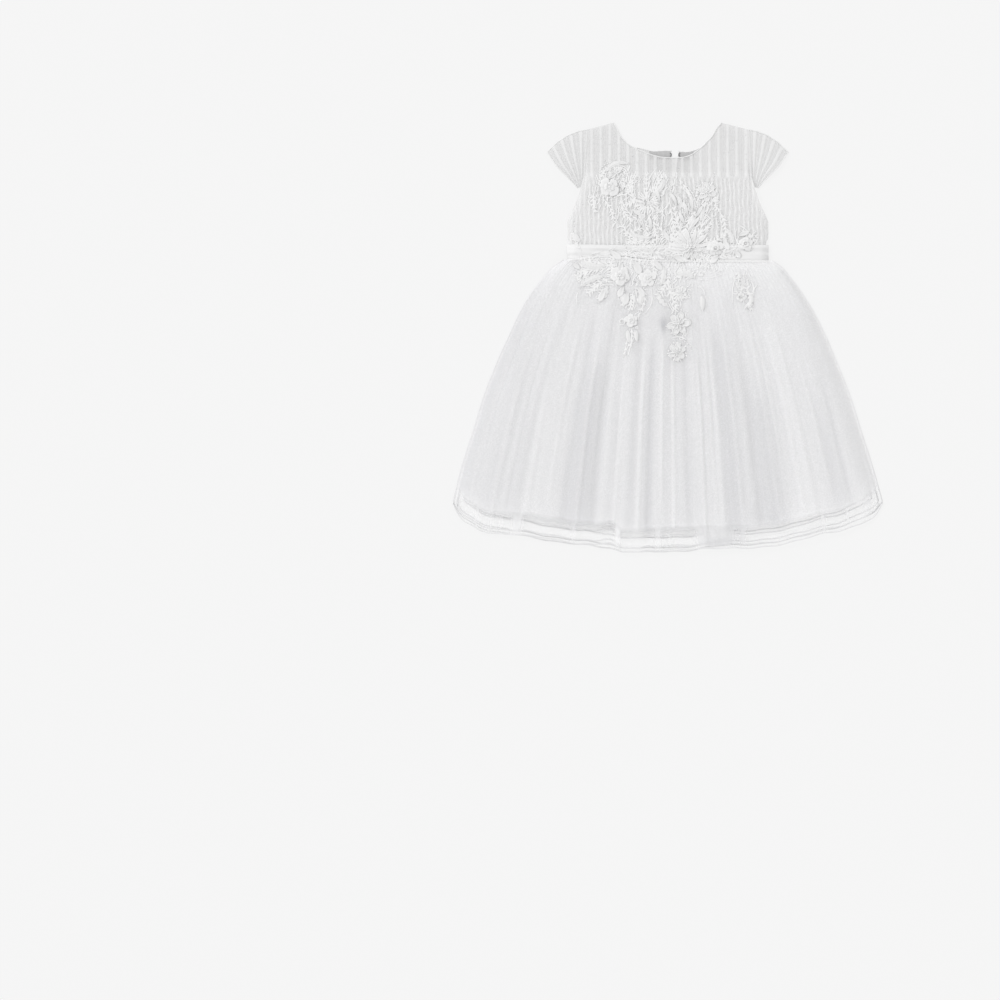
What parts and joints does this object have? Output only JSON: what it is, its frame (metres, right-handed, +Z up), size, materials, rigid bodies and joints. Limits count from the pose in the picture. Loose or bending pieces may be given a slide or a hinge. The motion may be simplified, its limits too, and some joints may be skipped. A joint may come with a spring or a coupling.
{
  "type": "child's tulle dress",
  "caption": "Small child's party dress laid flat: striped sheer bodice with cap sleeves, satin waistband, lace flowers and a full gathered skirt of layered tulle.",
  "frame": {"origin": "middle of the dress's outline, on the surface that it lies on", "axes": "+X to the right as seen from above with the neck away, +Y from hem to neck, +Z up from the surface"},
  "size_m": [0.559, 0.559, 0.0249],
  "materials": {
    "tulle": "sheer soft white net with a narrow rolled hem",
    "lining": "opaque white lining with a faint sheen",
    "overlay": "sheer white mesh with stitched vertical ribs",
    "sash": "white satin, softly creased",
    "applique": "white corded lace and petals",
    "metal": "small dark hook and bar"
  },
  "bodies": {
    "root": {"back_bar": "metal", "back_hook": "metal", "blossom_bodice_1": "applique", "blossom_bodice_2": "applique", "blossom_skirt_1": "applique", "blossom_skirt_2": "applique", "bodice_back_left": "overlay", "bodice_back_lining_left": "lining", "bodice_back_lining_right": "lining", "bodice_back_right": "overlay", "bodice_front": "overlay", "bodice_front_lining": "lining", "drop_left_1": "applique", "drop_left_2": "applique", "drop_right": "applique", "fan_centre": "applique", "fern_centre": "applique", "fern_left_1": "applique", "fern_left_2": "applique", "fern_left_3": "applique", "fern_stem": "applique", "flower_bodice_left": "applique", "flower_bodice_right": "applique", "flower_skirt_centre": "applique", "flower_skirt_half": "applique", "flower_skirt_left": "applique", "flower_skirt_low_left": "applique", "flower_skirt_middle": "applique", "flower_skirt_tip": "applique", "flower_waist_end": "applique", "flower_waist_main": "applique", "flower_waist_right": "applique", "leaf_bodice_arch": "applique", "leaf_bodice_centre": "applique", "leaf_bodice_small": "applique", "leaf_bodice_sprig": "applique", "leaf_bodice_stem": "applique", "leaf_bodice_up": "applique", "leaf_skirt_right": "applique", "leaf_waist_left": "applique", "leaf_waist_thin": "applique", "petal_left_low": "applique", "petal_middle_low": "applique", "sash_back": "sash", "sash_front": "sash", "scroll_waist_1": "applique", "scroll_waist_2": "applique", "skirt_lining_back": "lining", "skirt_lining_front": "lining", "sleeve_left": "overlay", "sleeve_right": "overlay", "tulle_inner_back": "tulle", "tulle_inner_front": "tulle", "tulle_middle_back": "tulle", "tulle_middle_front": "tulle", "tulle_outer_back": "tulle", "tulle_outer_front": "tulle"}
  },
  "joints": []
}
